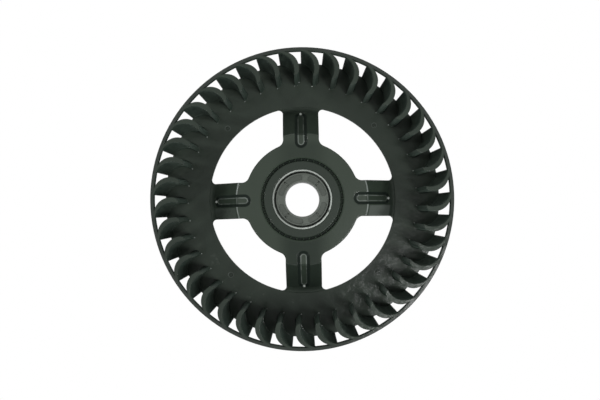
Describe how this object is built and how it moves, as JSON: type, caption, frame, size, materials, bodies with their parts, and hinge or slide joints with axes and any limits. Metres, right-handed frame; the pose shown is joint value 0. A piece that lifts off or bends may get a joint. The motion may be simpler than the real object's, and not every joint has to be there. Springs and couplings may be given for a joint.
{
  "type": "centrifugal fan impeller",
  "caption": "Forward-curved centrifugal fan wheel: a ring of curved blades on an annular back plate, a domed spoked centre with windows, and a metal-lined hub with a plain bore",
  "frame": {"origin": "on the wheel's axis, in the plane of the back plate's rear face", "axes": "+Z along the axis towards the inlet side, +X and +Y along two of the four spokes"},
  "size_m": [0.1706, 0.1706, 0.04],
  "materials": {
    "wheel_plastic": "moulded black plastic with a faint green-grey cast, matt with a soft sheen",
    "sleeve_steel": "turned steel",
    "bush_metal": "dull dark grey metal"
  },
  "bodies": {
    "root": {"impeller_wheel": "wheel_plastic", "hub_sleeve": "sleeve_steel", "hub_bush": "bush_metal"}
  },
  "joints": []
}
